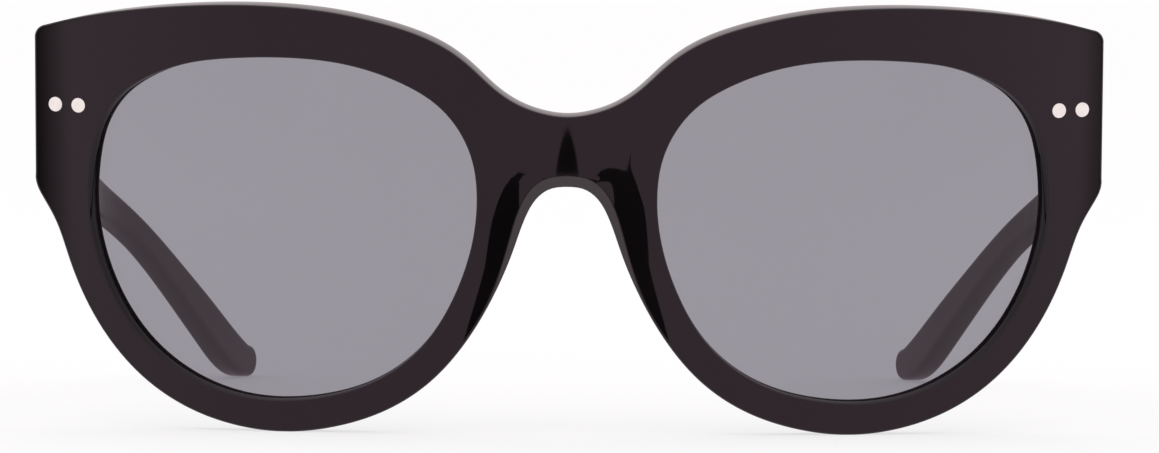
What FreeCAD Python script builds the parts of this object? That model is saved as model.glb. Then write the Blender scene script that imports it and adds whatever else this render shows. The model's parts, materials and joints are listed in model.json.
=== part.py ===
import FreeCAD, Part
import math
import os

from FreeCAD import Vector

# Cat eye sunglasses, standing open on a table on the rims' lowest points and the temple tips.
# Millimetres, +Z up. The glasses face -Y, so the wearer's left is +X. The origin is on the table,
# midway in width and depth. Every piece of the wearer's left side is built, then mirrored.

# ---- Front: one acetate plate, bent round an upright cylinder ----
FACE_RADIUS = 200.0
FRONT_THICKNESS = 4.7
FRONT_LEAN = 6.0                 # degrees, the top towards -Y
EDGE_BEVEL = 0.5

# Outlines seen square on: (distance from the middle, height above the rims' lowest point).
BROW = [(0.0, 43.7), (3.2, 44.1), (6.4, 45.2), (9.7, 47.3), (12.9, 50.2), (16.1, 52.6), (19.3, 54.2),
        (25.8, 56.2), (32.2, 57.4), (40.0, 58.0), (48.5, 57.9), (58.4, 57.0), (65.0, 55.9), (71.2, 54.3)]
END_TOP_CORNER = [(71.2, 54.3), (72.35, 53.7), (72.75, 52.4)]
RIM = [(72.75, 34.0), (72.55, 32.2), (71.6, 30.4), (70.1, 27.8), (68.1, 22.4), (65.9, 17.1), (62.6, 11.7),
       (57.7, 6.5), (51.6, 2.7), (45.0, 0.6), (37.9, 0.0), (31.0, 1.0), (24.3, 3.4), (18.6, 7.2),
       (14.1, 12.2), (10.1, 18.8), (7.3, 25.3), (5.5, 30.2), (4.1, 32.5), (2.5, 33.7), (0.0, 34.1)]
LENS_OPENING = [(65.1, 27.5), (65.0, 35.9), (63.8, 40.9), (61.0, 45.2), (56.6, 48.2), (51.6, 50.0),
                (45.5, 50.9), (38.3, 51.2), (30.1, 50.5), (21.7, 47.8), (17.6, 45.3), (14.5, 41.8),
                (12.6, 37.5), (12.0, 32.8), (12.3, 28.2), (14.8, 19.6), (19.5, 12.0), (26.4, 6.9),
                (34.6, 4.5), (43.0, 4.3), (50.8, 6.6), (57.6, 11.5), (62.4, 18.5)]

# ---- Lenses ----
LENS_CENTRE = (38.4, 27.8)
LENS_DEPTH = 1.7                 # from the front's face back to the lens
LENS_THICKNESS = 1.5
LENS_GRIP = 0.8                  # how far the lens reaches into the rim's groove
LENS_BEVEL = 0.6

# ---- Nose pads: ellipses stacked backwards from the rim (depth, x, height, half length, half width) ----
PAD_SECTIONS = [(2.5, 12.0, 19.6, 8.2, 2.0), (6.0, 12.0, 19.8, 7.7, 1.9), (8.0, 12.2, 20.0, 6.8, 1.6),
                (9.4, 12.5, 20.2, 5.0, 1.0)]
PAD_TILT = 26.0                  # degrees, the pad's long axis from the vertical
GLUE_LINE = 0.02

# ---- Hinge, in its own frame: z along the pin, y back along the temple ----
HINGE_X = 66.6
HINGE_HEIGHT = 43.5              # of the barrels' middle, on the front's own height scale
HINGE_DEPTH = 5.9                # of the pin's axis behind the front's face
TEMPLE_SLOPE = 2.7               # degrees, the temple's fall towards its tip
BARREL_RADIUS = 1.5
BARREL_LENGTH = 1.7
BARREL_GAP = 0.1
BARREL_COUNT = 5
BARREL_CLEARANCE = 0.35
LEG_HALF_WIDTH = 1.4
LEAF_THICKNESS = 1.0
LEAF_HALF_HEIGHT = 5.0
LEAF_CORNER = 0.8
FRONT_LEAF_OFFSET = 2.0          # from the pin's axis to the leaf's open side
FRONT_LEAF_SPAN = (-1.7, 4.4)
TEMPLE_LEAF_OFFSET = 2.4
TEMPLE_LEAF_SPAN = (-0.4, 13.0)
PIN_RADIUS = 0.6
PIN_CLEARANCE = 0.05
SCREW_HEAD_RADIUS = 1.2
SCREW_HEAD_HEIGHT = 0.7
SCREW_SLOT = 0.35

# ---- Rivets ----
RIVET_HEAD_RADIUS = 1.0
RIVET_HEAD_DEPTH = 0.7
RIVET_PROUD = 0.08
RIVET_SHANK_RADIUS = 0.7
FRONT_RIVET_X = (("inner", 66.6), ("outer", 69.8))
FRONT_RIVET_HEIGHT = 43.5
TEMPLE_RIVET_Y = (("front", 4.4), ("rear", 10.2))

# ---- Temples, in the hinge's frame: side profile (y, z) and plan (y, inner face's x, thickness) ----
TEMPLE_TOP = [(-6.0, 8.8), (8.0, 8.2), (24.0, 4.4), (42.0, -2.8), (56.0, -7.4), (66.0, -9.2), (75.0, -11.8),
              (83.2, -15.8), (93.5, -21.6), (103.8, -27.4), (112.5, -32.1), (117.6, -34.3)]
TEMPLE_TIP = (120.3, -36.8)
TEMPLE_BOTTOM = [(117.4, -39.1), (111.2, -38.1), (104.2, -34.4), (93.8, -27.7), (83.5, -21.1), (75.3, -17.0),
                 (68.5, -15.5), (58.0, -15.2), (40.0, -14.4), (22.0, -12.2), (8.0, -10.2), (-6.0, -9.0)]
TEMPLE_PLAN = [(-6.0, 2.4, 3.8), (18.0, 2.4, 3.8), (42.0, 2.7, 3.7), (62.0, 3.0, 3.4), (72.0, 1.5, 3.0),
               (82.0, -2.7, 2.8), (95.0, -8.3, 2.9), (108.0, -13.4, 3.1), (120.0, -17.4, 3.2),
               (128.0, -19.8, 3.2)]
TEMPLE_ROUNDING = 0.8
TEMPLE_JOINT_GAP = 0.3           # between the end piece and the temple's front end

# ---- Core wire in each temple ----
CORE_WIDTH = 2.4
CORE_THICKNESS = 1.2
CORE_LINE = [(16.0, -4.5), (40.0, -8.7), (62.0, -12.0), (75.0, -14.4), (83.4, -18.4), (93.6, -24.7),
             (108.0, -33.4)]

# ---- Working sizes ----
PRISM_DEPTHS = (-2.0, 23.0)      # flat planes in front of and behind the bent plate
REACH = 200.0                    # longer than any piece


def spline(points, closed=False):
    curve = Part.BSplineCurve()
    curve.interpolate(points, PeriodicFlag=closed)
    return curve.toShape()


def mirrored(shape):
    return shape.mirror(Vector(0, 0, 0), Vector(1, 0, 0))


# ---- The bent plate: its walls stand square to its curved faces ----

def on_plane(point, depth):
    """Carry a point of the face along its radius of the bend to the plane at this depth."""
    angle = math.asin(point[0] / FACE_RADIUS)
    return Vector((FACE_RADIUS - depth) * math.tan(angle), depth, point[1])


def radial_prism(wire_at):
    return Part.makeLoft([wire_at(depth) for depth in PRISM_DEPTHS], True, True)


def bent_cylinder(depth):
    """All that lies behind the plate's surface at this depth."""
    return Part.makeCylinder(FACE_RADIUS - depth, REACH, Vector(0, FACE_RADIUS, -REACH / 2))


def bent_layer(near, far):
    return bent_cylinder(near).cut(bent_cylinder(far))


def across(points):
    """The points of one side and of its mirror image, as one run from +X to -X."""
    outward = sorted(points, key=lambda point: -point[0])
    return outward + [(-x, height) for x, height in reversed(outward) if x > 0]


def outline_wire(depth):
    brow = [on_plane(point, depth) for point in across(BROW)]
    rim = [on_plane(point, depth) for point in RIM] + [on_plane((-x, height), depth)
                                                      for x, height in reversed(RIM[:-1])]
    edges = [spline(brow), spline(rim)]
    for side in (1, -1):
        corner = [on_plane((side * x, height), depth) for x, height in END_TOP_CORNER]
        edges.append(Part.Arc(*corner).toShape())
        edges.append(Part.makeLine(corner[-1], on_plane((side * RIM[0][0], RIM[0][1]), depth)))
    return Part.Wire(Part.__sortEdges__(edges))


def opening_wire(depth, grow=0.0):
    reach = max(x for x, height in LENS_OPENING) - LENS_CENTRE[0]
    scale = 1 + grow / reach
    points = []
    for x, height in LENS_OPENING:
        wide = LENS_CENTRE[0] + (x - LENS_CENTRE[0]) * scale
        tall = LENS_CENTRE[1] + (height - LENS_CENTRE[1]) * scale
        points.append(on_plane((wide, tall), depth))
    return Part.Wire(spline(points, closed=True))


def edges_at_depth(shape, depth):
    """The edges that lie on the bent surface at this depth."""
    found = []
    for edge in shape.Edges:
        middle = edge.valueAt((edge.FirstParameter + edge.LastParameter) / 2)
        ends = [vertex.Point for vertex in edge.Vertexes]
        radii = [math.hypot(spot.x, FACE_RADIUS - spot.y) for spot in ends + [middle]]
        if all(abs(radius - (FACE_RADIUS - depth)) < 0.01 for radius in radii):
            found.append(edge)
    return found


def bend_placement(x, height, depth):
    """A frame at this point: x along the plate, y square to it towards the back, z up."""
    angle = math.asin(x / (FACE_RADIUS - depth))
    spot = Vector(x, FACE_RADIUS - (FACE_RADIUS - depth) * math.cos(angle), height)
    return FreeCAD.Placement(spot, FreeCAD.Rotation(Vector(0, 0, 1), math.degrees(angle)))


def front_plate(cutters):
    """The plate's left half with its opening and what is cut from it, joined to its mirror image."""
    plate = radial_prism(outline_wire).common(bent_layer(0, FRONT_THICKNESS))
    right_side = Part.makeBox(REACH, REACH, REACH, Vector(-REACH, -REACH / 2, -REACH / 2))
    half = plate.cut(right_side)
    outer_edges = edges_at_depth(half, 0) + edges_at_depth(half, FRONT_THICKNESS)
    half = half.makeChamfer(EDGE_BEVEL, outer_edges).cut(radial_prism(opening_wire))
    for cutter in cutters:
        half = half.cut(cutter)
    return half.fuse(mirrored(half))


def lens_blank():
    blank = radial_prism(lambda depth: opening_wire(depth, LENS_GRIP))
    blank = blank.common(bent_layer(LENS_DEPTH, LENS_DEPTH + LENS_THICKNESS))
    rim_edges = edges_at_depth(blank, LENS_DEPTH) + edges_at_depth(blank, LENS_DEPTH + LENS_THICKNESS)
    return blank.makeChamfer(LENS_BEVEL, rim_edges)


def nose_pad():
    wires = []
    for depth, x, height, half_length, half_width in PAD_SECTIONS:
        ring = Part.Ellipse(Vector(0, 0, 0), half_length, half_width).toShape()
        ring.rotate(Vector(0, 0, 0), Vector(1, 0, 0), 90)
        ring.rotate(Vector(0, 0, 0), Vector(0, 1, 0), 90 - PAD_TILT)
        ring.translate(Vector(x, depth, height))
        wires.append(Part.Wire(ring))
    return Part.makeLoft(wires, True).common(bent_cylinder(FRONT_THICKNESS + GLUE_LINE))


# ---- Hinge ----

def block(low, high):
    return Part.makeBox(high[0] - low[0], high[1] - low[1], high[2] - low[2], Vector(*low))


def upright_cylinder(radius, low, high):
    return Part.makeCylinder(radius, high - low, Vector(0, 0, low))


def barrel_span(number):
    pitch = BARREL_LENGTH + BARREL_GAP
    low = -(BARREL_COUNT * pitch - BARREL_GAP) / 2 + number * pitch
    return low, low + BARREL_LENGTH


def leaf_plate(span, near, far):
    """A plate square to y from y = -far to its open side at y = -near, with rounded corners."""
    plate = block((span[0], -far, -LEAF_HALF_HEIGHT), (span[1], -near, LEAF_HALF_HEIGHT))
    corners = [edge for edge in plate.Edges if abs(edge.tangentAt(edge.FirstParameter).y) > 0.9]
    return plate.makeFillet(LEAF_CORNER, corners)


def hinge_leaf(offset, span, numbers, bore):
    """A leaf on the -y side of the pin, with the numbered barrels."""
    leaf = leaf_plate(span, offset, offset + LEAF_THICKNESS)
    for number in numbers:
        low, high = barrel_span(number)
        leg = block((-LEG_HALF_WIDTH, -offset - LEAF_THICKNESS / 2, low), (LEG_HALF_WIDTH, 0, high))
        leaf = leaf.fuse([leg, upright_cylinder(BARREL_RADIUS, low, high)])
    return leaf.removeSplitter().cut(upright_cylinder(bore, -LEAF_HALF_HEIGHT, LEAF_HALF_HEIGHT))


def hinge_screw():
    low = barrel_span(0)[0]
    high = barrel_span(BARREL_COUNT - 1)[1]
    shank = upright_cylinder(PIN_RADIUS, low, high)
    head = upright_cylinder(SCREW_HEAD_RADIUS, high, high + SCREW_HEAD_HEIGHT)
    slot = block((-SCREW_HEAD_RADIUS, -SCREW_SLOT / 2, high + SCREW_HEAD_HEIGHT / 2),
                 (SCREW_HEAD_RADIUS, SCREW_SLOT / 2, high + SCREW_HEAD_HEIGHT))
    return shank.fuse(head).removeSplitter().cut(slot)


def rivet(length):
    """A rivet along +y from its head at the origin."""
    head = Part.makeCylinder(RIVET_HEAD_RADIUS, RIVET_HEAD_DEPTH + RIVET_PROUD, Vector(0, -RIVET_PROUD, 0),
                             Vector(0, 1, 0))
    rim = [edge for edge in head.Edges if edge.CenterOfMass.y < 0 and edge.Closed]
    head = head.makeFillet(RIVET_PROUD * 0.9, rim)
    shank = Part.makeCylinder(RIVET_SHANK_RADIUS, length, Vector(0, 0, 0), Vector(0, 1, 0))
    return head.fuse(shank).removeSplitter()


# ---- Temple and core wire, in the hinge's frame ----

def offset_line(points, distance):
    """The points moved square to the line through their neighbours, to its left."""
    moved = []
    for index, point in enumerate(points):
        before = points[max(index - 1, 0)]
        after = points[min(index + 1, len(points) - 1)]
        along = (after[0] - before[0], after[1] - before[1])
        length = math.hypot(*along)
        moved.append((point[0] - along[1] / length * distance, point[1] + along[0] / length * distance))
    return moved


def closed_wire(edges):
    """Close a chain of edges with a straight line."""
    chain = Part.Wire(Part.__sortEdges__(edges))
    start, end = chain.OrderedVertexes[0].Point, chain.OrderedVertexes[-1].Point
    return Part.Wire(Part.__sortEdges__(edges + [Part.makeLine(end, start)]))


def bent_bar(profile_edges, inner, outer):
    """What a side profile (y, z) and a strip in plan (y, x) have in common."""
    profile = Part.Face(closed_wire(profile_edges))
    profile.translate(Vector(-REACH / 2, 0, 0))
    strip_lines = [spline([Vector(x, y, -REACH / 2) for y, x in line]) for line in (inner, outer)]
    end = Part.makeLine(strip_lines[0].Vertexes[-1].Point, strip_lines[1].Vertexes[-1].Point)
    strip = Part.Face(closed_wire(strip_lines + [end]))
    return profile.extrude(Vector(REACH, 0, 0)).common(strip.extrude(Vector(0, 0, REACH)))


def plan_line(fraction, extra=0.0):
    """The temple's line in plan, this fraction of its thickness out from the inner face."""
    inner = [(y, x) for y, x, thickness in TEMPLE_PLAN]
    return [offset_line(inner, thickness * fraction + extra)[index]
            for index, (y, x, thickness) in enumerate(TEMPLE_PLAN)]


def side_spline(points):
    return spline([Vector(0, y, z) for y, z in points])


def temple_bar():
    tip = Part.Arc(*[Vector(0, y, z) for y, z in (TEMPLE_TOP[-1], TEMPLE_TIP, TEMPLE_BOTTOM[0])]).toShape()
    profile = [side_spline(TEMPLE_TOP), tip, side_spline(TEMPLE_BOTTOM)]
    bar = bent_bar(profile, plan_line(0), plan_line(1))
    front_end = TEMPLE_PLAN[0][0] + TEMPLE_ROUNDING
    long_edges = [edge for edge in bar.Edges if max(vertex.Point.y for vertex in edge.Vertexes) > front_end]
    return bar.makeFillet(TEMPLE_ROUNDING, long_edges)


def core_wire():
    half = CORE_WIDTH / 2
    above, below = offset_line(CORE_LINE, half), offset_line(CORE_LINE, -half)
    end = Part.makeLine(Vector(0, *above[-1]), Vector(0, *below[-1]))
    inner, outer = plan_line(0.5, -CORE_THICKNESS / 2), plan_line(0.5, CORE_THICKNESS / 2)
    return bent_bar([side_spline(above), end, side_spline(below)], inner, outer)


# ---- Assembly: the left side's pieces in place, on a front that does not lean yet ----

def hinge_placement():
    """The hinge's frame: its y axis falls by the temple's slope from level once the front leans."""
    spot = bend_placement(HINGE_X, HINGE_HEIGHT, HINGE_DEPTH).Base
    return FreeCAD.Placement(spot, FreeCAD.Rotation(Vector(1, 0, 0), -TEMPLE_SLOPE - FRONT_LEAN))


def turned(degrees):
    return FreeCAD.Placement(Vector(0, 0, 0), FreeCAD.Rotation(Vector(0, 0, 1), degrees))


def placed(shape, placement):
    shape = shape.copy()
    shape.Placement = placement.multiply(shape.Placement)
    return shape


def hinge_pieces(hinge):
    """The front leaf, its rivets and the screw, and the shapes that the front is cut with to take them."""
    bend = math.degrees(math.asin(HINGE_X / (FACE_RADIUS - HINGE_DEPTH)))
    facing = hinge.multiply(turned(bend))
    numbers = range(0, BARREL_COUNT, 2)
    leaf = placed(hinge_leaf(FRONT_LEAF_OFFSET, FRONT_LEAF_SPAN, numbers, PIN_RADIUS), facing)
    seat = placed(leaf_plate(FRONT_LEAF_SPAN, 0, FRONT_LEAF_OFFSET + LEAF_THICKNESS), facing)
    room = upright_cylinder(BARREL_RADIUS + BARREL_CLEARANCE, -LEAF_HALF_HEIGHT, LEAF_HALF_HEIGHT)
    rivets = {}
    for name, x in FRONT_RIVET_X:
        pin = rivet(HINGE_DEPTH - FRONT_LEAF_OFFSET)
        rivets["front_rivet_" + name] = placed(pin, bend_placement(x, FRONT_RIVET_HEIGHT, 0))
    pins = list(rivets.values())
    pieces = {"front_hinge_leaf": leaf.cut(pins), "hinge_screw": placed(hinge_screw(), hinge)}
    return {**pieces, **rivets}, [seat, placed(room, hinge)] + pins


def temple_pieces(hinge):
    """The temple, its core wire, its leaf and the rivets that hold the leaf."""
    numbers = range(1, BARREL_COUNT, 2)
    leaf = hinge_leaf(TEMPLE_LEAF_OFFSET, TEMPLE_LEAF_SPAN, numbers, PIN_RADIUS + PIN_CLEARANCE)
    leaf = placed(leaf, turned(90))
    core = core_wire()
    rivets = {}
    for name, y in TEMPLE_RIVET_Y:
        outer_face = FreeCAD.Placement(Vector(TEMPLE_LEAF_OFFSET + TEMPLE_PLAN[0][2], y, 0), FreeCAD.Rotation())
        rivets["temple_rivet_" + name] = placed(rivet(TEMPLE_PLAN[0][2]), outer_face.multiply(turned(90)))
    pins = list(rivets.values())
    joint = bent_cylinder(FRONT_THICKNESS + TEMPLE_JOINT_GAP)
    ahead = Part.makeBox(REACH, REACH, REACH, Vector(0, -REACH / 2, -REACH / 2)).cut(joint)
    barrels = upright_cylinder(BARREL_RADIUS, -LEAF_HALF_HEIGHT, LEAF_HALF_HEIGHT)
    bar = temple_bar().cut([leaf, core] + pins)
    pieces = {"temple_core_wire": core, **rivets}
    pieces = {name: placed(shape, hinge) for name, shape in pieces.items()}
    pieces["temple_hinge_leaf"] = placed(leaf.cut(pins), hinge).cut(ahead.cut(placed(barrels, hinge)))
    pieces["temple"] = placed(bar, hinge).cut(ahead)
    return pieces


def standing_placement(front, temple):
    """Lean the front, set it on the table and bring the middle of the depth to the origin."""
    lean = FreeCAD.Placement(Vector(0, 0, 0), FreeCAD.Rotation(Vector(1, 0, 0), FRONT_LEAN))
    front_box = placed(front, lean).optimalBoundingBox(False)
    temple_box = placed(temple, lean).optimalBoundingBox(False)
    middle = (front_box.YMin + temple_box.YMax) / 2
    return FreeCAD.Placement(Vector(0, -middle, -front_box.ZMin), FreeCAD.Rotation()).multiply(lean)


def build():
    """Every piece by node name, standing on the table, and the placement that stood it there."""
    hinge = hinge_placement()
    lens = lens_blank()
    fixed, cutters = hinge_pieces(hinge)
    left = {"lens": lens, "nose_pad": nose_pad(), **fixed, **temple_pieces(hinge)}
    front = front_plate(cutters + [lens])
    pieces = {"front_frame": front}
    for name, shape in left.items():
        pieces[name + "_left"] = shape
        pieces[name + "_right"] = mirrored(shape)
    standing = standing_placement(front, left["temple"])
    return {name: placed(shape, standing) for name, shape in pieces.items()}, standing


def write_parts():
    os.makedirs("parts", exist_ok=True)
    pieces, standing = build()
    for name, shape in pieces.items():
        shape.exportStep("parts/" + name + ".step")


if __name__ == "__main__":
    write_parts()
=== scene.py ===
import json
import math

import bmesh
import bpy
import numpy as np
from mathutils import Matrix, Vector


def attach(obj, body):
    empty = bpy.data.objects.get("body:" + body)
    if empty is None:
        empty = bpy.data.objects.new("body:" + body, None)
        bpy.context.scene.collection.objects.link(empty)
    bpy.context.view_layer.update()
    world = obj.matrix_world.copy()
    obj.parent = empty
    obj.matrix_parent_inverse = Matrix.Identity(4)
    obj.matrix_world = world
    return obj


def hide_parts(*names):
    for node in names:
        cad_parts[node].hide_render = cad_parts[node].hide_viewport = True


# Cat eye sunglasses: the smooth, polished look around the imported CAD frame.
# Outlines are in millimetres, as in part.py, and every mesh is made in metres in the row frame.
# The outlines' points were picked from what a scratch program measured. They are no example of how to draw an
# outline, which is done with driving sizes, arcs and curves.
MM = 0.001

# ---- Front: the CAD solid's outlines and sizes, with finer edges ----
FACE_RADIUS = 200.0
FRONT_THICKNESS = 4.7
FRONT_LEAN = 6.0
BROW = [(0.0, 43.7), (3.2, 44.1), (6.4, 45.2), (9.7, 47.3), (12.9, 50.2), (16.1, 52.6), (19.3, 54.2),
        (25.8, 56.2), (32.2, 57.4), (40.0, 58.0), (48.5, 57.9), (58.4, 57.0), (65.0, 55.9), (71.2, 54.3)]
END_TOP_CORNER = [(71.2, 54.3), (72.35, 53.7), (72.75, 52.4)]
RIM = [(72.75, 34.0), (72.55, 32.2), (71.6, 30.4), (70.1, 27.8), (68.1, 22.4), (65.9, 17.1), (62.6, 11.7),
       (57.7, 6.5), (51.6, 2.7), (45.0, 0.6), (37.9, 0.0), (31.0, 1.0), (24.3, 3.4), (18.6, 7.2),
       (14.1, 12.2), (10.1, 18.8), (7.3, 25.3), (5.5, 30.2), (4.1, 32.5), (2.5, 33.7), (0.0, 34.1)]
LENS_OPENING = [(65.1, 27.5), (65.0, 35.9), (63.8, 40.9), (61.0, 45.2), (56.6, 48.2), (51.6, 50.0),
                (45.5, 50.9), (38.3, 51.2), (30.1, 50.5), (21.7, 47.8), (17.6, 45.3), (14.5, 41.8),
                (12.6, 37.5), (12.0, 32.8), (12.3, 28.2), (14.8, 19.6), (19.5, 12.0), (26.4, 6.9),
                (34.6, 4.5), (43.0, 4.3), (50.8, 6.6), (57.6, 11.5), (62.4, 18.5)]
LENS_CENTRE = (38.4, 27.8)
LENS_DEPTH = 1.7
LENS_THICKNESS = 1.5
LENS_GRIP = 0.8
LENS_BEVEL = 0.5
GROOVE_PLAY = 0.05
EDGE_RADIUS = 0.3
NOSE_EDGE_RADIUS = 1.7
LIP_RADIUS = 0.15
OPENING_TAPER = 3.0              # degrees, in front of the lens
BACK_FLARE = 0.75                # how much wider the opening is at the back than at the lens
BACK_LIP_RADIUS = 0.3
NOSE_FALL = 0.27                 # how far the face falls back towards the nose's edge
NOSE_FALL_WIDTH = 6.0
NOSE_HALF_WIDTH = 34.0           # the nose's edge is what of the rim lies within this of the middle
NOSE_TOP = 34.2                  # and below this height
NOSE_FALL_STARTS = (2.5, 8.0)    # from the middle: where the fall comes in
NOSE_FALL_ENDS = (18.0, 30.0)    # and where it goes out again
NOSE_EDGE_FADES = (2.0, 11.5)    # from the middle: where the wide nose edge narrows
NOSE_EDGE_TOP = 36.0
BEVEL_SLOPE = 0.58               # the nose edge's depth as a share of its width
BEVEL_BLEND = 0.3                # the share of the nose's edge over which rounding turns into bevel

# ---- Nose pads ----
PAD_SECTIONS = [(2.5, 12.0, 19.6, 8.2, 2.0), (6.0, 12.0, 19.8, 7.7, 1.9), (8.0, 12.2, 20.0, 6.8, 1.6),
                (9.4, 12.5, 20.2, 5.0, 1.0)]
PAD_TILT = 26.0
PAD_BURIED = 0.8                 # how far the pad reaches into the front
PAD_DOME_START = 7.6
PAD_DOME_HEIGHT = 1.8
PAD_POINTS = 64

# ---- Hinge and temples, in the hinge's own frame ----
HINGE_X = 66.6
HINGE_HEIGHT = 43.5
HINGE_DEPTH = 5.9
TEMPLE_SLOPE = 2.7
TEMPLE_TOP = [(-6.0, 8.8), (8.0, 8.2), (24.0, 4.4), (42.0, -2.8), (56.0, -7.4), (66.0, -9.2), (75.0, -11.8),
              (83.2, -15.8), (93.5, -21.6), (103.8, -27.4), (112.5, -32.1), (117.6, -34.3)]
TEMPLE_TIP = (120.3, -36.8)
TEMPLE_BOTTOM = [(117.4, -39.1), (111.2, -38.1), (104.2, -34.4), (93.8, -27.7), (83.5, -21.1), (75.3, -17.0),
                 (68.5, -15.5), (58.0, -15.2), (40.0, -14.4), (22.0, -12.2), (8.0, -10.2), (-6.0, -9.0)]
TEMPLE_PLAN = [(-6.0, 2.4, 3.8), (18.0, 2.4, 3.8), (42.0, 2.7, 3.7), (62.0, 3.0, 3.4), (72.0, 1.5, 3.0),
               (82.0, -2.7, 2.8), (95.0, -8.3, 2.9), (108.0, -13.4, 3.1), (120.0, -17.4, 3.2),
               (128.0, -19.8, 3.2)]
TEMPLE_EDGE_RADIUS = 1.0
TEMPLE_FRONT_RADIUS = 0.25
TEMPLE_JOINT_GAP = 0.3
LEAF_REVEAL = 0.06               # how far the hinge's leaf stands out of the temple's inner face
LEAF_END = 13.5
LEAF_RUN_OUT = 3.0
FRONT_END_X = 4.5                # across the temple, where its front end's place is taken
FRONT_END_RUN = 8.0              # the length over which the front end bends to the front's back face
FRONT_SOFTENING = 1.2            # the length over which the edges round off behind the front end

# ---- How finely the meshes are drawn: points along a line, or rings ----
SPLINE_SAMPLES = 4000
NOSE_LINE_POINTS = 800
BROW_POINTS = 301
CORNER_POINTS = 9
SIDE_POINTS = 21
RIM_POINTS = 321
BRIDGE_POINTS = 13
OPENING_POINTS = 900
LENS_POINTS = 240
LENS_RINGS = 25
PLAN_POINTS = 400
PROFILE_POINTS = 240
TEMPLE_POINTS = 160
TEMPLE_END_POINTS = 25
TEMPLE_SIDE_RINGS = 6

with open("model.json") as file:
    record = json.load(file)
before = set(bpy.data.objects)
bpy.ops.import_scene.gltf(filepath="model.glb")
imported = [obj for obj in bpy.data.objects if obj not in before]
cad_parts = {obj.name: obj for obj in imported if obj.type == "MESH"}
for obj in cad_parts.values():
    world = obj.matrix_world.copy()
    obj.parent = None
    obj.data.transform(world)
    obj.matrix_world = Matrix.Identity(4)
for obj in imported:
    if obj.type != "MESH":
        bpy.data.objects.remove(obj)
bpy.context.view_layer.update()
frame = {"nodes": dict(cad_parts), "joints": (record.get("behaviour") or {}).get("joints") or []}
joints = {joint["name"]: joint for joint in frame["joints"]}


# ---- Curves through points ----

def spline_points(points, count, closed=False):
    """Evenly spaced points on a cubic spline through these, first to last."""
    knots = np.array(points + points[:1] if closed else points, float)
    lengths = np.hypot(*np.diff(knots, axis=0).T)
    at = np.concatenate([[0.0], np.cumsum(lengths)])
    size = len(knots)
    system = np.zeros((size, size))
    right = np.zeros((size, 2))
    for i in range(1, size - 1):
        system[i, i - 1:i + 2] = lengths[i - 1], 2 * (lengths[i - 1] + lengths[i]), lengths[i]
        right[i] = 6 * ((knots[i + 1] - knots[i]) / lengths[i] - (knots[i] - knots[i - 1]) / lengths[i - 1])
    if closed:
        system[0, 0], system[0, -1] = 1, -1
        system[-1, 0], system[-1, 1] = 2 * lengths[0], lengths[0]
        system[-1, -1], system[-1, -2] = 2 * lengths[-1], lengths[-1]
        right[-1] = 6 * ((knots[1] - knots[0]) / lengths[0] - (knots[-1] - knots[-2]) / lengths[-1])
    else:
        system[0, :3] = lengths[1], -lengths[0] - lengths[1], lengths[0]
        system[-1, -3:] = lengths[-1], -lengths[-2] - lengths[-1], lengths[-2]
    curvature = np.linalg.solve(system, right)

    def position(where):
        i = np.clip(np.searchsorted(at, where, side="right") - 1, 0, size - 2)
        h = lengths[i][:, None]
        a = ((at[i + 1] - where)[:, None]) / h
        b = 1 - a
        return (a * knots[i] + b * knots[i + 1]
                + ((a ** 3 - a) * curvature[i] + (b ** 3 - b) * curvature[i + 1]) * h ** 2 / 6)

    fine = position(np.linspace(0, at[-1], SPLINE_SAMPLES))
    run = np.concatenate([[0.0], np.cumsum(np.hypot(*np.diff(fine, axis=0).T))])
    spots = np.linspace(0, run[-1], count, endpoint=not closed)
    return np.column_stack([np.interp(spots, run, fine[:, k]) for k in (0, 1)])


def arc_points(start, middle, end, count):
    """Points on the circle through three points."""
    (ax, ay), (bx, by), (cx, cy) = start, middle, end
    d = 2 * (ax * (by - cy) + bx * (cy - ay) + cx * (ay - by))
    ux = ((ax**2 + ay**2) * (by - cy) + (bx**2 + by**2) * (cy - ay) + (cx**2 + cy**2) * (ay - by)) / d
    uy = ((ax**2 + ay**2) * (cx - bx) + (bx**2 + by**2) * (ax - cx) + (cx**2 + cy**2) * (bx - ax)) / d
    angles = np.unwrap([math.atan2(y - uy, x - ux) for x, y in (start, middle, end)])
    turn = np.linspace(angles[0], angles[2], count)
    radius = math.hypot(ax - ux, ay - uy)
    return np.column_stack([ux + radius * np.cos(turn), uy + radius * np.sin(turn)])


def across(points):
    """The points of one side and of its mirror image, as one run from +X to -X."""
    outward = sorted(points, key=lambda point: -point[0])
    return outward + [(-x, height) for x, height in reversed(outward) if x > 0]


def left_normals(line, closed):
    """Unit normals to the left of a run of points."""
    if closed:
        along = np.roll(line, -1, axis=0) - np.roll(line, 1, axis=0)
    else:
        along = np.gradient(line, axis=0)
    along /= np.hypot(*along.T)[:, None]
    return np.column_stack([-along[:, 1], along[:, 0]])


# ---- Meshes from grids of points ----

def add_grid(mesh, rows, closed=False):
    """Quads between rows of points; closed joins each row's ends."""
    made = [[mesh.verts.new(Vector(point) * MM) for point in row] for row in rows]
    count = len(made[0])
    for low, high in zip(made, made[1:]):
        for i in range(count if closed else count - 1):
            k = (i + 1) % count
            mesh.faces.new((low[i], low[k], high[k], high[i]))


def object_from(mesh, name):
    data = bpy.data.meshes.new(name)
    mesh.to_mesh(data)
    mesh.free()
    made = bpy.data.objects.new(name, data)
    bpy.context.scene.collection.objects.link(made)
    return made


def finished_mesh(mesh, name, smooth_angle=40.0):
    """Weld the grids, drop what collapsed, face the normals out and make the object."""
    bmesh.ops.remove_doubles(mesh, verts=mesh.verts, dist=1e-6)
    bmesh.ops.dissolve_degenerate(mesh, edges=mesh.edges, dist=1e-7)
    bmesh.ops.recalc_face_normals(mesh, faces=mesh.faces)
    piece = object_from(mesh, name)
    piece.data.shade_smooth()
    piece.data.set_sharp_from_angle(angle=math.radians(smooth_angle))
    return piece


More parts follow.
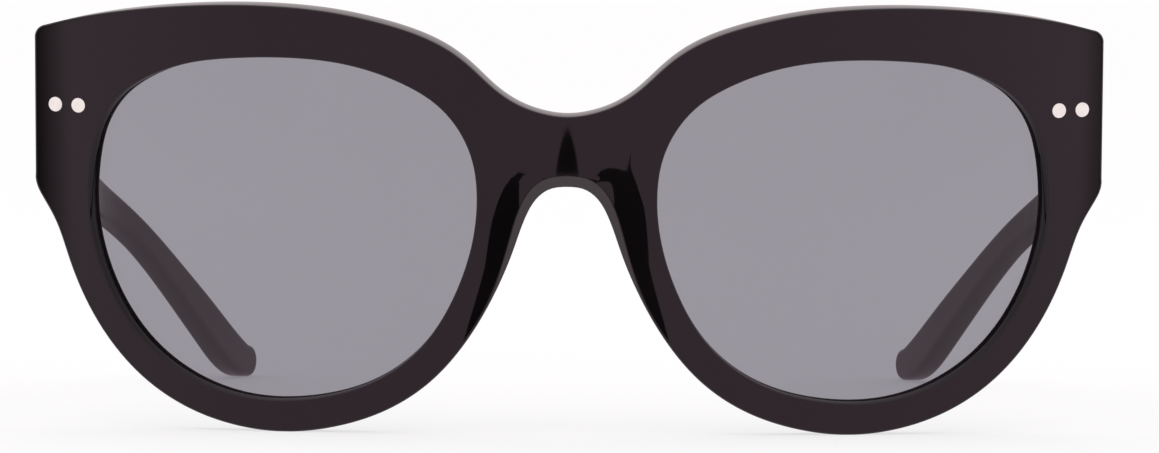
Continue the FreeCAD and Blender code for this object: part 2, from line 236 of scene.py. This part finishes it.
def mirror_into(mesh):
    """Add the mirror image about the middle plane."""
    copy = bmesh.ops.duplicate(mesh, geom=mesh.verts[:] + mesh.edges[:] + mesh.faces[:])["geom"]
    for vert in copy:
        if isinstance(vert, bmesh.types.BMVert):
            vert.co.x = -vert.co.x
    bmesh.ops.reverse_faces(mesh, faces=[face for face in copy if isinstance(face, bmesh.types.BMFace)])


# ---- Places ----

def rotation_x(degrees):
    return np.array(Matrix.Rotation(math.radians(degrees), 3, "X"))


def bend(spot, depth):
    """A point of the plate, (x on the face, height) and depth, bent round the upright cylinder."""
    angle = math.asin(spot[0] / FACE_RADIUS)
    reach = FACE_RADIUS - depth
    return np.array([reach * math.sin(angle), FACE_RADIUS - reach * math.cos(angle), spot[1]])


def hinge_spot():
    angle = math.asin(HINGE_X / (FACE_RADIUS - HINGE_DEPTH))
    return np.array([HINGE_X, FACE_RADIUS - (FACE_RADIUS - HINGE_DEPTH) * math.cos(angle), HINGE_HEIGHT])


HINGE = np.array(joints["left_temple_fold"]["pos_m"]) / MM
LEAN = rotation_x(FRONT_LEAN)
FRONT_SHIFT = HINGE - LEAN @ hinge_spot()
SLOPE = rotation_x(-TEMPLE_SLOPE)


def in_front(point):
    return LEAN @ point + FRONT_SHIFT


def on_temple(point):
    return SLOPE @ point + HINGE


def smooth_step(value, low, high):
    share = np.clip((value - low) / (high - low), 0, 1)
    return share * share * (3 - 2 * share)


RIM_LINE = spline_points(across(RIM), NOSE_LINE_POINTS)
NOSE_LINE = RIM_LINE[(abs(RIM_LINE[:, 0]) < NOSE_HALF_WIDTH) & (RIM_LINE[:, 1] < NOSE_TOP)]


def face_relief(x, height):
    """How far the polished face falls back from the plain bend, in mm: it slopes off towards the nose."""
    if abs(x) > NOSE_HALF_WIDTH:
        return 0.0
    away = math.sqrt(((NOSE_LINE - (x, height)) ** 2).sum(axis=1).min())
    share = max(0.0, 1 - away / NOSE_FALL_WIDTH)
    side = smooth_step(abs(x), *NOSE_FALL_STARTS) * (1 - smooth_step(abs(x), *NOSE_FALL_ENDS))
    return NOSE_FALL * side * share * share


def plate_point(spot, depth):
    fall = face_relief(spot[0], spot[1]) * (1 - depth / FRONT_THICKNESS)
    return in_front(bend(spot, depth + fall))


def corner_steps(radius, count=6):
    """(in from the edge, depth) round a quarter circle, from the face to the wall."""
    turns = [math.pi / 2 * k / count for k in range(count + 1)]
    return [(radius * (1 - math.sin(t)), radius * (1 - math.cos(t))) for t in turns]


# The nose's edge is a flat bevel with softened corners: shares of its width in and of its depth down.
BEVEL_STEPS = [(1.0, 0.0), (0.95, 0.01), (0.9, 0.055), (0.5, 0.5), (0.055, 0.9), (0.01, 0.95), (0.0, 1.0)]


# ---- Front ----

# Rows from the outline in to the opening, close together at both ends so that the face shades flat.
FACE_SHARES = [0.0, 0.012, 0.06, *np.linspace(0.13, 0.87, 10), 0.94, 0.988, 1.0]
TAPER_AT_LENS = LIP_RADIUS + LENS_DEPTH * math.tan(math.radians(OPENING_TAPER))


def half_outline():
    """The left half's outline from the bridge's top round to the bridge's underside."""
    brow = spline_points(across(BROW), BROW_POINTS)
    brow = brow[brow[:, 0] >= -1e-9][::-1]
    brow[0, 0] = 0.0
    corner = arc_points(*END_TOP_CORNER, CORNER_POINTS)
    side = np.linspace(END_TOP_CORNER[-1], RIM[0], SIDE_POINTS)
    rim = spline_points(across(RIM), RIM_POINTS)
    rim = rim[rim[:, 0] >= -1e-9]
    rim[-1, 0] = 0.0
    return np.vstack([brow, corner[1:], side[1:], rim[1:]])


def opening_loop(count):
    """Points round the lens's opening, and the unit normals that point away from the lens."""
    loop = spline_points(LENS_OPENING, count, closed=True)
    return loop, -left_normals(loop, True)


def opening_towards(targets, spread=12):
    """The opening's points and normals in the directions of the targets, which run clockwise."""
    loop, normals = opening_loop(OPENING_POINTS)
    turn = 2 * math.pi
    angles = np.unwrap(np.arctan2(*(loop - LENS_CENTRE).T[::-1]))
    around = np.append(angles, angles[0] + turn)
    closed = np.vstack([np.hstack([loop, normals]), np.hstack([loop, normals])[:1]])
    wanted = np.minimum.accumulate(np.unwrap(np.arctan2(*(targets - LENS_CENTRE).T[::-1])))
    padded = np.concatenate([wanted[-spread:] + turn, wanted, wanted[:spread] - turn])
    wanted = np.convolve(padded, np.full(2 * spread + 1, 1 / (2 * spread + 1)), "valid")
    wanted = (wanted - angles[0]) % turn + angles[0]
    found = np.column_stack([np.interp(wanted, around, closed[:, k]) for k in range(4)])
    return found[:, :2], found[:, 2:]


def nose_share(spot):
    """1 at the nose's arch, falling to 0 along the rim."""
    return 1 - smooth_step(spot[0], *NOSE_EDGE_FADES) if spot[1] < NOSE_EDGE_TOP else 0.0


def edge_radius(spot):
    """The outer edge's rounding: wider where it meets the nose."""
    return EDGE_RADIUS + (NOSE_EDGE_RADIUS - EDGE_RADIUS) * nose_share(spot)


def front_shell():
    """The left half's edge, its two faces and the wall of its opening, then the mirror image."""
    outline = half_outline()
    inward = -left_normals(outline, False)
    inward[0], inward[-1] = (0, -1), (0, 1)
    radii = np.array([edge_radius(spot) for spot in outline])
    half = bmesh.new()

    rows = []
    flat = np.array([smooth_step(nose_share(spot), 0.0, BEVEL_BLEND) for spot in outline])
    for (step, down), (bevel_step, bevel_down) in zip(corner_steps(1.0), BEVEL_STEPS):
        steps = radii * (step + (bevel_step - step) * flat)
        depths = radii * (down + (bevel_down * BEVEL_SLOPE - down) * flat)
        line = outline + inward * steps[:, None]
        rows.append([plate_point(spot, depth) for spot, depth in zip(line, depths)])
    for step, down in reversed(corner_steps(EDGE_RADIUS)):
        rows.append([plate_point(spot, FRONT_THICKNESS - down) for spot in outline + inward * step])
    add_grid(half, rows)

    for depth, reach in ((0.0, radii), (FRONT_THICKNESS, np.full(len(radii), EDGE_RADIUS))):
        edge = outline + inward * reach[:, None]
        middle = np.linspace(edge[-1], edge[0], BRIDGE_POINTS)[1:-1]
        around = np.vstack([edge, middle])
        opening, outward = opening_towards(around)
        if depth == 0:
            inner = opening
            add_grid(half, opening_wall(opening, outward), closed=True)
        else:
            inner = opening + outward * (BACK_FLARE + BACK_LIP_RADIUS - TAPER_AT_LENS)
        rows = [[plate_point(spot, depth) for spot in around + (inner - around) * share]
                for share in FACE_SHARES]
        add_grid(half, rows, closed=True)
    mirror_into(half)
    return finished_mesh(half, "front_shell")


def opening_wall(opening, outward):
    """Rows from the face's lip down the wall, round the groove that holds the lens, to the back lip."""
    slope = math.tan(math.radians(OPENING_TAPER))
    top, bottom = LENS_DEPTH - GROOVE_PLAY, LENS_DEPTH + LENS_THICKNESS + GROOVE_PLAY
    profile = [(down, step - LIP_RADIUS - slope * down) for step, down in corner_steps(LIP_RADIUS, 3)]
    profile += [(top, -TAPER_AT_LENS), (top, LENS_GRIP), (bottom, LENS_GRIP), (bottom, -TAPER_AT_LENS)]
    for step, down in reversed(corner_steps(BACK_LIP_RADIUS, 4)):
        profile.append((FRONT_THICKNESS - down, BACK_FLARE - TAPER_AT_LENS + step))
    return [[plate_point(spot, depth) for spot in opening + outward * out] for depth, out in profile]


# ---- Lenses ----

def lens(side, name):
    """A bevelled lens whose edge lies in the front's groove."""
    loop, outward = opening_loop(LENS_POINTS)
    centre = np.array(LENS_CENTRE)
    edge = loop + outward * (LENS_GRIP - GROOVE_PLAY)
    inner = edge - outward * LENS_BEVEL
    near, far = LENS_DEPTH, LENS_DEPTH + LENS_THICKNESS
    shares = np.linspace(0, 1, LENS_RINGS)
    rows = [(centre + (inner - centre) * share, near) for share in shares]
    rows += [(edge, near + LENS_BEVEL), (edge, far - LENS_BEVEL)]
    rows += [(centre + (inner - centre) * share, far) for share in shares[::-1]]
    glass = bmesh.new()
    add_grid(glass, [[in_front(bend(spot, depth)) * (side, 1, 1) for spot in line] for line, depth in rows],
             closed=True)
    return finished_mesh(glass, name, 30.0)


# ---- Nose pads ----

def nose_pad(side, name):
    """A domed oval that grows out of the rim and rounds over at its crown."""
    depths = np.array([row[0] for row in PAD_SECTIONS])
    values = np.array([row[1:] for row in PAD_SECTIONS])
    tilt = math.radians(90 - PAD_TILT)
    rows = []
    levels = np.concatenate([np.linspace(FRONT_THICKNESS - PAD_BURIED, PAD_DOME_START, 12),
                             PAD_DOME_START + PAD_DOME_HEIGHT * np.sin(np.linspace(0, math.pi / 2, 13)[1:])])
    for depth in levels:
        x, height, long, wide = [np.interp(depth, depths, values[:, k]) for k in range(4)]
        rise = max(0.0, (depth - PAD_DOME_START) / PAD_DOME_HEIGHT)
        dome = math.sqrt(max(0.0, 1 - rise ** 2))
        ring = []
        for turn in np.linspace(0, 2 * math.pi, PAD_POINTS, endpoint=False):
            u, v = long * dome * math.cos(turn), wide * dome * math.sin(turn)
            ring.append(in_front(np.array([x + u * math.cos(tilt) + v * math.sin(tilt), depth,
                                           height - u * math.sin(tilt) + v * math.cos(tilt)])) * (side, 1, 1))
        rows.append(ring)
    rows.insert(0, [np.mean(rows[0], axis=0)] * PAD_POINTS)
    pad = bmesh.new()
    add_grid(pad, rows, closed=True)
    return finished_mesh(pad, name)


# ---- Temples ----

PLAN = np.array(TEMPLE_PLAN)
PLAN_LINE = spline_points([(y, x) for y, x, thickness in TEMPLE_PLAN], PLAN_POINTS)


def plan_point(y, z, outward_share):
    """A point of the temple: y along it, z up it, and the share of its thickness out from the inner face."""
    inner = PLAN_LINE[:, 1]
    x = np.interp(y, PLAN_LINE[:, 0], inner)
    slope = (np.interp(y + 0.5, PLAN_LINE[:, 0], inner) - np.interp(y - 0.5, PLAN_LINE[:, 0], inner))
    thick = np.interp(y, PLAN[:, 0], PLAN[:, 2])
    reveal = LEAF_REVEAL * (1 - smooth_step(y, LEAF_END, LEAF_END + LEAF_RUN_OUT)) * (1 - outward_share)
    return np.array([x + reveal + thick * outward_share * math.hypot(1, slope), y, z])


def front_end(x, z):
    """Where the temple's front end is, in the hinge's frame, to lie along the front's back face."""
    tilt = math.radians(TEMPLE_SLOPE + FRONT_LEAN)
    reach = FACE_RADIUS - FRONT_THICKNESS - TEMPLE_JOINT_GAP
    face = FACE_RADIUS - math.sqrt(reach ** 2 - (HINGE_X + x) ** 2)
    return (face - hinge_spot()[1] - z * math.sin(tilt)) / math.cos(tilt)


def edge_line(points, start, end):
    """Points on a spline that runs back along the temple, evenly spaced in y from start to end."""
    line = spline_points(points, PROFILE_POINTS)
    y = start + (end - start) * np.linspace(0, 1, TEMPLE_POINTS)
    return np.column_stack([y, np.interp(y, line[:, 0], line[:, 1])])


def temple(side, name):
    """The bar between its inner and outer face, with rounded edges and a round tip."""
    start = front_end(FRONT_END_X, 0)
    upper = edge_line(TEMPLE_TOP, start, TEMPLE_TOP[-1][0])
    lower = edge_line(TEMPLE_BOTTOM[::-1], start, TEMPLE_BOTTOM[0][0])
    tip = arc_points(TEMPLE_TOP[-1], TEMPLE_TIP, TEMPLE_BOTTOM[0], TEMPLE_END_POINTS)
    front = np.linspace(lower[0], upper[0], TEMPLE_END_POINTS)
    outline = np.vstack([upper, tip[1:-1], lower[::-1], front[1:-1]])
    inward = -left_normals(outline, True)
    midline = (upper + lower) / 2
    spine = np.vstack([midline, np.repeat(midline[-1:], len(tip) - 2, axis=0), midline[::-1],
                       np.column_stack([np.full(len(front) - 2, midline[0][0]), front[1:-1][:, 1]])])
    away_from_end = np.clip((outline[:, 0] - start) / FRONT_SOFTENING, 0, 1)
    radii = TEMPLE_FRONT_RADIUS + (TEMPLE_EDGE_RADIUS - TEMPLE_FRONT_RADIUS) * away_from_end
    bar = bmesh.new()

    def place(spot, share):
        point = plan_point(spot[0], spot[1], share)
        near = max(0.0, 1 - (spot[0] - start) / FRONT_END_RUN)
        point[1] += near * (front_end(point[0], point[2]) - start)
        return on_temple(point) * (side, 1, 1)

    rows = []
    edge = outline + inward * radii[:, None]
    thick = np.interp(outline[:, 0], PLAN[:, 0], PLAN[:, 2])
    for share in np.linspace(1, 0, TEMPLE_SIDE_RINGS):
        rows.append([place(spot, 0.0) for spot in edge + (spine - edge) * share])
    for step, down in corner_steps(1.0)[1:]:
        rows.append([place(spot, depth) for spot, depth in
                     zip(outline + inward * (radii * step)[:, None], radii * down / thick)])
    for step, down in corner_steps(1.0)[::-1]:
        rows.append([place(spot, 1 - depth) for spot, depth in
                     zip(outline + inward * (radii * step)[:, None], radii * down / thick)])
    for share in np.linspace(0, 1, TEMPLE_SIDE_RINGS)[1:]:
        rows.append([place(spot, 1.0) for spot in edge + (spine - edge) * share])
    add_grid(bar, rows, closed=True)
    return finished_mesh(bar, name)


# ---- Materials ----

RAMP_ENDS = (0.3, 0.7)           # the noise values at which a ramp starts and ends


def material(name):
    made = bpy.data.materials.new(name)
    made.use_nodes = True
    return made, made.node_tree.nodes["Principled BSDF"]


def noise(tree, scale, detail=3.0):
    coordinates = tree.nodes.new("ShaderNodeTexCoord")
    node = tree.nodes.new("ShaderNodeTexNoise")
    node.inputs["Scale"].default_value = scale
    node.inputs["Detail"].default_value = detail
    tree.links.new(coordinates.outputs["Object"], node.inputs["Vector"])
    return node


def ramp(tree, source, low, high):
    """Map a 0 to 1 value to a range, or to a mix of two colours."""
    node = tree.nodes.new("ShaderNodeValToRGB")
    for element, value, position in zip(node.color_ramp.elements, (low, high), RAMP_ENDS):
        element.color = (value, value, value, 1) if isinstance(value, float) else (*value, 1)
        element.position = position
    tree.links.new(source, node.inputs["Fac"])
    return node.outputs["Color"]


def acetate(name, low=(0.0018, 0.0014, 0.0016), high=(0.0034, 0.0026, 0.0030)):
    made, shader = material(name)
    tree = made.node_tree
    cloud = noise(tree, 45.0)
    tree.links.new(ramp(tree, cloud.outputs["Fac"], low, high), shader.inputs["Base Color"])
    polish = noise(tree, 260.0, 4.0)
    tree.links.new(ramp(tree, polish.outputs["Fac"], 0.012, 0.03), shader.inputs["Roughness"])
    shader.inputs["IOR"].default_value = 1.49
    return made


# How much a lens's polish reflects, from seen square on (0) to seen edge on (1).
LENS_SHINE = [(0.0, 0.04), (0.35, 0.045), (0.6, 0.09), (0.8, 0.25), (1.0, 1.0)]


def smoke_lens(name):
    made = bpy.data.materials.new(name)
    made.use_nodes = True
    tree = made.node_tree
    tree.nodes.clear()
    output = tree.nodes.new("ShaderNodeOutputMaterial")
    clear = tree.nodes.new("ShaderNodeBsdfTransparent")
    gloss = tree.nodes.new("ShaderNodeBsdfGlossy")
    gloss.inputs["Roughness"].default_value = 0.02
    facing = tree.nodes.new("ShaderNodeLayerWeight")
    facing.inputs["Blend"].default_value = 0.5
    shine = tree.nodes.new("ShaderNodeValToRGB")
    for _ in LENS_SHINE[2:]:
        shine.color_ramp.elements.new(0.5)
    for element, (position, share) in zip(shine.color_ramp.elements, LENS_SHINE):
        element.position = position
        element.color = (share, share, share, 1)
    tree.links.new(facing.outputs["Facing"], shine.inputs["Fac"])
    mix = tree.nodes.new("ShaderNodeMixShader")
    tint = noise(tree, 20.0, 2.0)
    tree.links.new(ramp(tree, tint.outputs["Fac"], (0.556, 0.551, 0.580), (0.564, 0.559, 0.588)),
                   clear.inputs["Color"])
    tree.links.new(shine.outputs["Color"], mix.inputs["Fac"])
    tree.links.new(clear.outputs["BSDF"], mix.inputs[1])
    tree.links.new(gloss.outputs["BSDF"], mix.inputs[2])
    tree.links.new(mix.outputs["Shader"], output.inputs["Surface"])
    return made


def metal(name, low, high, roughness, metallic=1.0):
    made, shader = material(name)
    tree = made.node_tree
    grain = noise(tree, 900.0, 5.0)
    tree.links.new(ramp(tree, grain.outputs["Fac"], low, high), shader.inputs["Base Color"])
    tree.links.new(ramp(tree, grain.outputs["Fac"], *roughness), shader.inputs["Roughness"])
    shader.inputs["Metallic"].default_value = metallic
    return made


def wear(piece, finish):
    piece.data.materials.clear()
    piece.data.materials.append(finish)


# ---- The object ----

black = acetate("polished_acetate")
tinted = smoke_lens("smoke_lens")
leaf_metal = metal("nickel_silver", (0.60, 0.58, 0.54), (0.74, 0.72, 0.69), (0.22, 0.34))
screw_metal = metal("turned_steel", (0.56, 0.56, 0.56), (0.68, 0.68, 0.68), (0.18, 0.30))
rivet_metal = metal("rivet_silver", (0.87, 0.81, 0.77), (0.93, 0.87, 0.83), (0.50, 0.62), 0.2)
core_metal = metal("drawn_wire", (0.50, 0.49, 0.46), (0.64, 0.63, 0.60), (0.30, 0.42))

shell = front_shell()
wear(shell, black)
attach(shell, "front")
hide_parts("front_frame")

for side_name, side in (("left", 1), ("right", -1)):
    glass = lens(side, "lens_glass_" + side_name)
    wear(glass, tinted)
    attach(glass, "front")
    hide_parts("lens_" + side_name)

    pad = nose_pad(side, "pad_shell_" + side_name)
    wear(pad, black)
    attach(pad, "front")
    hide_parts("nose_pad_" + side_name)

    arm = temple(side, "temple_shell_" + side_name)
    wear(arm, black)
    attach(arm, side_name + "_temple")
    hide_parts("temple_" + side_name)

METAL_FOR = {"hinge_screw": screw_metal, "rivet": rivet_metal, "core_wire": core_metal, "leaf": leaf_metal}
for node_name, node in frame["nodes"].items():
    for word, finish in METAL_FOR.items():
        if word in node_name:
            wear(node, finish)

# ---- Floor, light and camera ----

BRIDGE_FRONT = in_front(np.array([0.0, 0.0, BROW[0][1]]))[1] * MM
CAMERA_DISTANCE = 0.9
CAMERA_HEIGHT = 0.0615
PITCH = 2.11
FOCAL_LENGTH = 208.5
TURN = 0.65
ROLL = 0.30
SENSOR_WIDTH = 36.0
CLIP_NEAR = 0.05
CLIP_FAR = 60.0
FRAME_SHIFT = 0.011044           # the camera's sideways shift, as a share of the frame's width
FLOOR_REACH = 40.0
OVERHEAD_PLACE = (0, 0.1, 1.2)
OVERHEAD_SIZE = (1.6, 1.6)
OVERHEAD_POWER = 1.0
WHITE_LIGHT = (1.06, 1.06, 1.06, 1)
# Along Y, from in front of the glasses to behind them.
STUDIO_COLOURS = [(0.0, (0.66, 0.47, 0.56)), (0.08, (0.70, 0.50, 0.60)), (0.155, (0.80, 0.60, 0.70)),
                  (0.175, (0.03, 0.03, 0.03)), (0.215, (0.03, 0.03, 0.03)), (0.25, (1.38, 1.17, 1.23)),
                  (0.4, (1.38, 1.17, 1.23)), (0.5, (0.98, 0.92, 0.94)), (1.0, (0.62, 0.55, 0.56))]
# The dark stand's outlines, square on, in mm from its middle and from the table. They were placed so that
# their reflections make the three dark shapes on the bridge.
STAND = [[(-4.5, -171.8), (-2.0, -171.0), (2.0, -171.0), (4.5, -171.8), (6.5, -172.8), (10.7, -175.6),
          (14.0, -178.6), (18.0, -184.0), (-18.0, -184.0), (-14.0, -178.6), (-10.7, -175.6), (-6.5, -172.8)],
         [(-57.0, -206.0), (-20.0, -222.0), (0.0, -222.0), (0.0, -330.0), (-32.0, -330.0), (-42.0, -248.0),
          (-62.0, -216.0)],
         [(96.0, -177.6), (90.0, -205.0), (74.0, -217.0), (45.0, -245.0), (30.0, -330.0), (0.0, -330.0),
          (0.0, -222.0), (20.0, -222.0), (57.0, -205.0), (82.0, -192.0)]]


def floor_plane():
    """Pale paper that gives off part of its brightness, and that the polish doesn't reflect."""
    mesh = bmesh.new()
    bmesh.ops.create_grid(mesh, x_segments=16, y_segments=16, size=FLOOR_REACH)
    plane = object_from(mesh, "floor")
    paper, shader = material("floor_paper")
    shader.inputs["Base Color"].default_value = (0.31, 0.30, 0.305, 1)
    shader.inputs["Emission Color"].default_value = (1.0, 0.995, 1.0, 1)
    shader.inputs["Emission Strength"].default_value = 0.67
    shader.inputs["Roughness"].default_value = 0.9
    shader.inputs["Specular IOR Level"].default_value = 0.0
    wear(plane, paper)
    plane.visible_glossy = False


def dark_stand():
    """Black cards below the camera, of which only the reflection in the polish is seen."""
    mesh = bmesh.new()
    middle = -CAMERA_DISTANCE * math.sin(math.radians(TURN))
    for outline in STAND:
        corners = [mesh.verts.new((middle + x * MM, BRIDGE_FRONT - CAMERA_DISTANCE, z * MM))
                   for x, z in outline]
        mesh.faces.new(corners)
    card = object_from(mesh, "dark_stand")
    cloth, shader = material("black_cloth")
    shader.inputs["Base Color"].default_value = (0.01, 0.01, 0.01, 1)
    shader.inputs["Roughness"].default_value = 1.0
    wear(card, cloth)
    card.visible_camera = False
    card.visible_diffuse = False
    card.visible_transmission = False
    card.visible_shadow = False


def world_light():
    """White all round, but what the polish reflects is a tinted studio, coloured from front to back."""
    world = bpy.data.worlds.new("studio")
    bpy.context.scene.world = world
    world.use_nodes = True
    tree = world.node_tree
    background = tree.nodes["Background"]
    coordinates = tree.nodes.new("ShaderNodeTexCoord")
    split = tree.nodes.new("ShaderNodeSeparateXYZ")
    tree.links.new(coordinates.outputs["Generated"], split.inputs["Vector"])
    share = tree.nodes.new("ShaderNodeMapRange")
    share.inputs["From Min"].default_value = -1.0
    tree.links.new(split.outputs["Y"], share.inputs["Value"])
    studio = tree.nodes.new("ShaderNodeValToRGB")
    for _ in STUDIO_COLOURS[2:]:
        studio.color_ramp.elements.new(0.5)
    for element, (position, colour) in zip(studio.color_ramp.elements, STUDIO_COLOURS):
        element.position = position
        element.color = (*colour, 1)
    tree.links.new(share.outputs["Result"], studio.inputs["Fac"])
    path = tree.nodes.new("ShaderNodeLightPath")
    mix = tree.nodes.new("ShaderNodeMix")
    mix.data_type = "RGBA"
    mix.inputs["A"].default_value = WHITE_LIGHT
    tree.links.new(path.outputs["Is Glossy Ray"], mix.inputs["Factor"])
    tree.links.new(studio.outputs["Color"], mix.inputs["B"])
    tree.links.new(mix.outputs["Result"], background.inputs["Color"])
    background.inputs["Strength"].default_value = 1.0


def soft_light(name, location, aim, size, power):
    data = bpy.data.lights.new(name, "AREA")
    data.shape = "RECTANGLE"
    data.size, data.size_y = size
    data.energy = power
    lamp = bpy.data.objects.new(name, data)
    lamp.location = location
    lamp.rotation_mode = "QUATERNION"
    lamp.rotation_quaternion = (Vector(aim) - Vector(location)).to_track_quat("-Z", "Y")
    bpy.context.scene.collection.objects.link(lamp)


def camera():
    data = bpy.data.cameras.new("camera")
    data.lens = FOCAL_LENGTH
    data.sensor_width = SENSOR_WIDTH
    data.shift_x = FRAME_SHIFT
    data.clip_start = CLIP_NEAR
    data.clip_end = CLIP_FAR
    eye = bpy.data.objects.new("camera", data)
    turn = math.radians(TURN)
    location = Vector((math.sin(turn), -math.cos(turn), 0)) * CAMERA_DISTANCE
    eye.location = (location.x, BRIDGE_FRONT + location.y, CAMERA_HEIGHT)
    look = Matrix.Rotation(turn, 4, "Z") @ Matrix.Rotation(math.radians(90 - PITCH), 4, "X")
    eye.matrix_world = Matrix.Translation(eye.location) @ look @ Matrix.Rotation(math.radians(ROLL), 4, "Z")
    bpy.context.scene.collection.objects.link(eye)
    bpy.context.scene.camera = eye


floor_plane()
world_light()
dark_stand()
soft_light("overhead", OVERHEAD_PLACE, (0, 0, 0), OVERHEAD_SIZE, OVERHEAD_POWER)
camera()
bpy.context.scene.view_settings.view_transform = "Standard"
